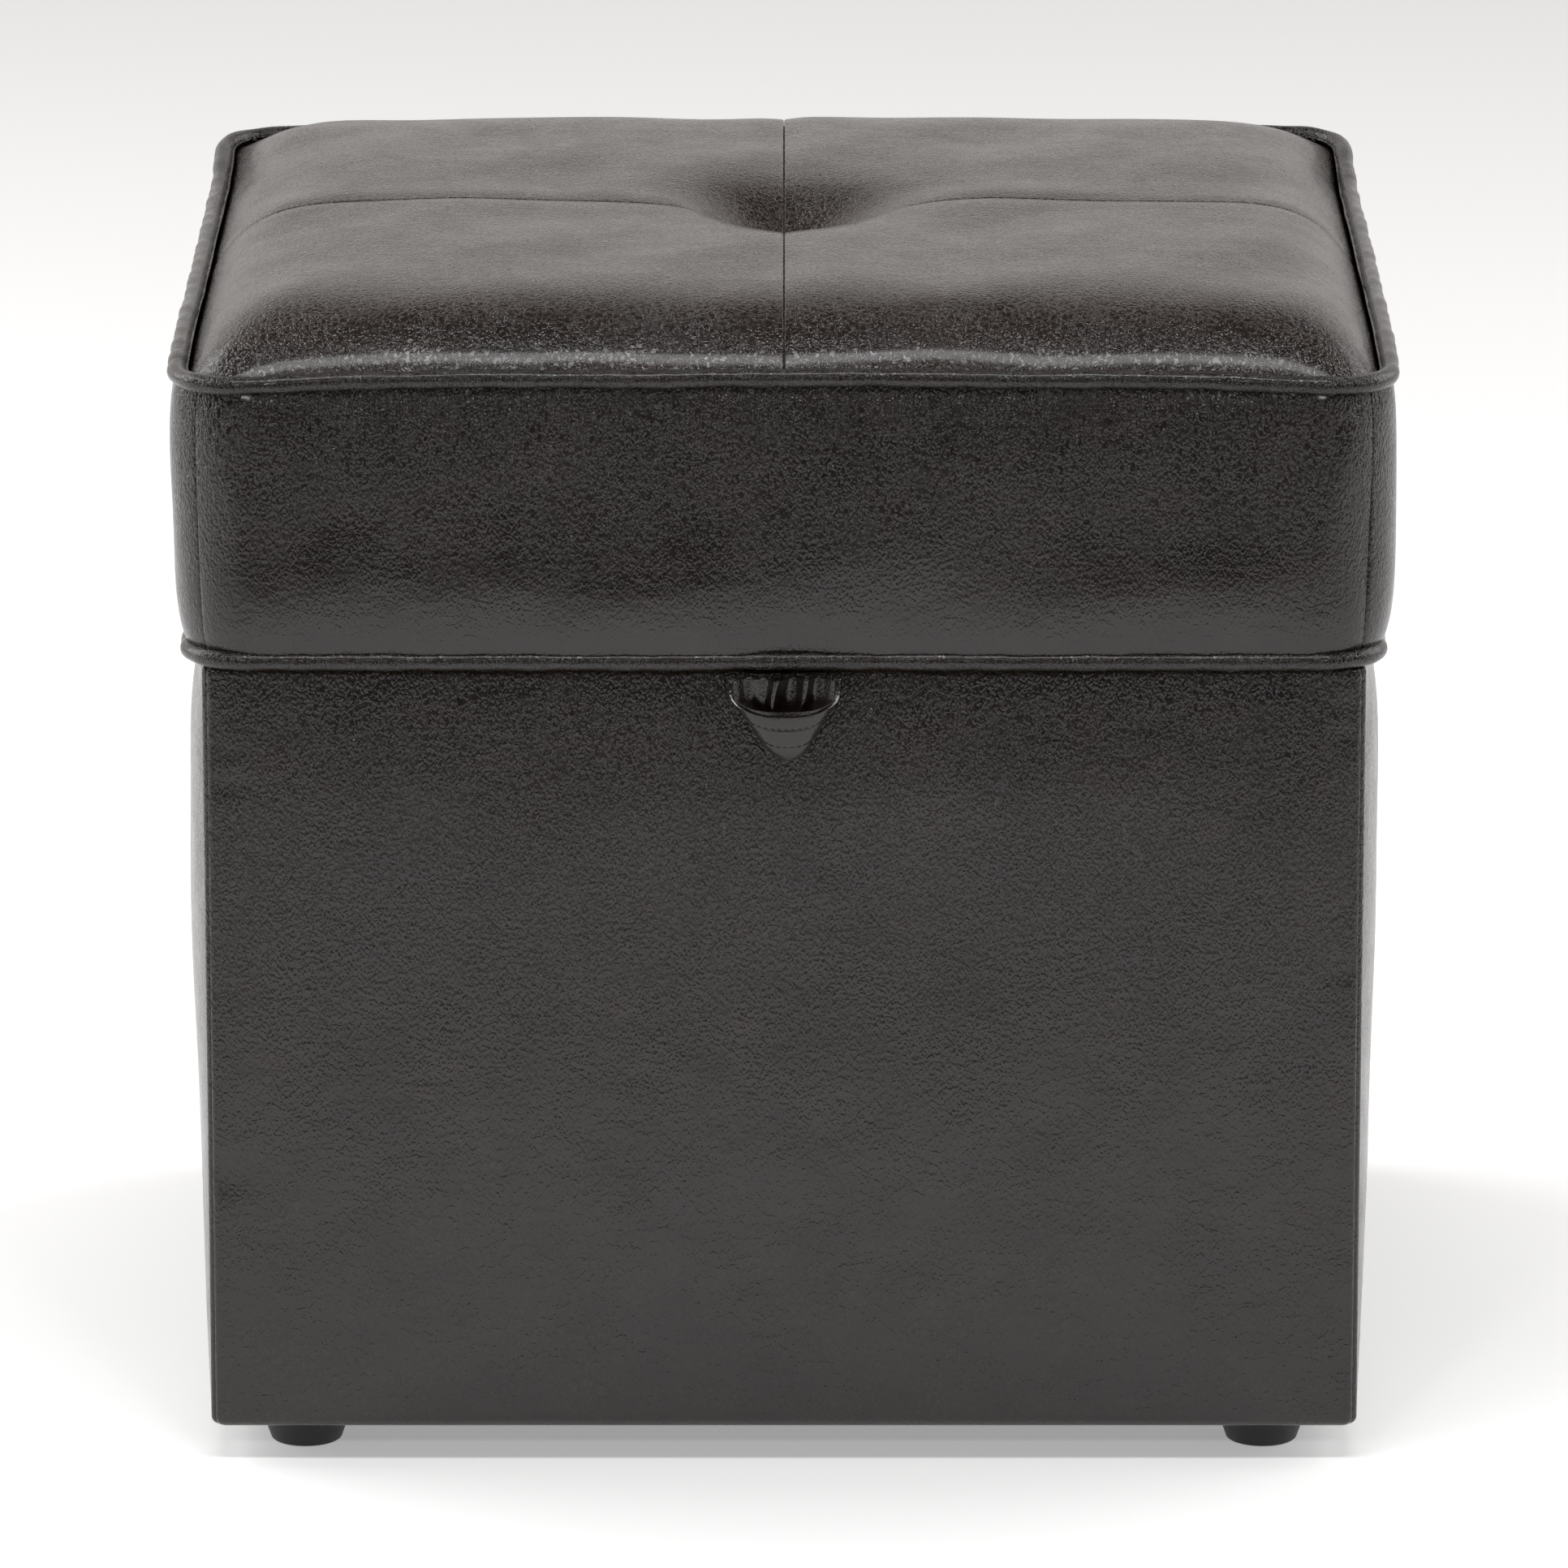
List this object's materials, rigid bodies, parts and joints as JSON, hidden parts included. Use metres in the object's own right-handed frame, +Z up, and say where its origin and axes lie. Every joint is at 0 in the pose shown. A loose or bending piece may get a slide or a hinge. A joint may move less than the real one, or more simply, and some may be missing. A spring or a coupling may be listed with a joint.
{
  "type": "storage ottoman",
  "caption": "Cube-shaped faux-leather storage ottoman with a tufted, piped cushion lid on rear hinges, a front pull tab and round glides.",
  "frame": {"origin": "on the floor under the middle of the ottoman", "axes": "+X to the right seen from the front, +Y towards the hinged back, +Z up; the pull tab is on the -Y side"},
  "size_m": [0.4594, 0.433, 0.45],
  "materials": {
    "leather": "satin",
    "piping": "satin",
    "foam": "matte",
    "wood": "matte",
    "liner": "matte",
    "plastic": "satin",
    "steel": "satin",
    "cord": "matte"
  },
  "bodies": {
    "base": {"front_board": "wood", "back_board": "wood", "left_board": "wood", "right_board": "wood", "floor_board": "wood", "storage_liner": "liner", "dust_cover": "liner", "corner_post_fl": "wood", "corner_post_fr": "wood", "corner_post_bl": "wood", "corner_post_br": "wood", "foot_fl": "plastic", "foot_fr": "plastic", "foot_bl": "plastic", "foot_br": "plastic", "foot_screw_fl": "steel", "foot_screw_fr": "steel", "foot_screw_bl": "steel", "foot_screw_br": "steel", "base_foam_front": "foam", "base_foam_back": "foam", "base_foam_left": "foam", "base_foam_right": "foam", "base_cover_front": "leather", "base_cover_back": "leather", "base_cover_left": "leather", "base_cover_right": "leather", "hinge_base_leaf_left": "steel", "hinge_base_leaf_right": "steel", "hinge_pin_left": "steel", "hinge_pin_right": "steel", "hinge_base_screw_left_1": "steel", "hinge_base_screw_left_2": "steel", "hinge_base_screw_right_1": "steel", "hinge_base_screw_right_2": "steel"},
    "lid": {"lid_board": "wood", "seat_foam": "foam", "lid_lining": "liner", "tuft_washer": "plastic", "tuft_cord": "cord", "lower_piping": "piping", "upper_piping": "piping", "lid_band_front": "leather", "lid_band_back": "leather", "lid_band_left": "leather", "lid_band_right": "leather", "seat_panel_fl": "leather", "seat_panel_fr": "leather", "seat_panel_bl": "leather", "seat_panel_br": "leather", "pull_tab_anchor": "piping", "hinge_lid_leaf_left": "steel", "hinge_lid_leaf_right": "steel", "hinge_lid_screw_left_1": "steel", "hinge_lid_screw_left_2": "steel", "hinge_lid_screw_right_1": "steel", "hinge_lid_screw_right_2": "steel"},
    "pull_tab": {"pull_tab": "piping"}
  },
  "joints": [
    {"name": "lid_hinge", "type": "hinge", "parent": "base", "child": "lid", "pos_m": [0, 0.2034, 0.31135], "axis": [-1, 0, 0], "range_deg": [0, 95]},
    {"name": "pull_tab_swing", "type": "hinge", "parent": "lid", "child": "pull_tab", "pos_m": [0, -0.2095, 0.3106], "axis": [-1, 0, 0], "range_deg": [0, 60]}
  ]
}
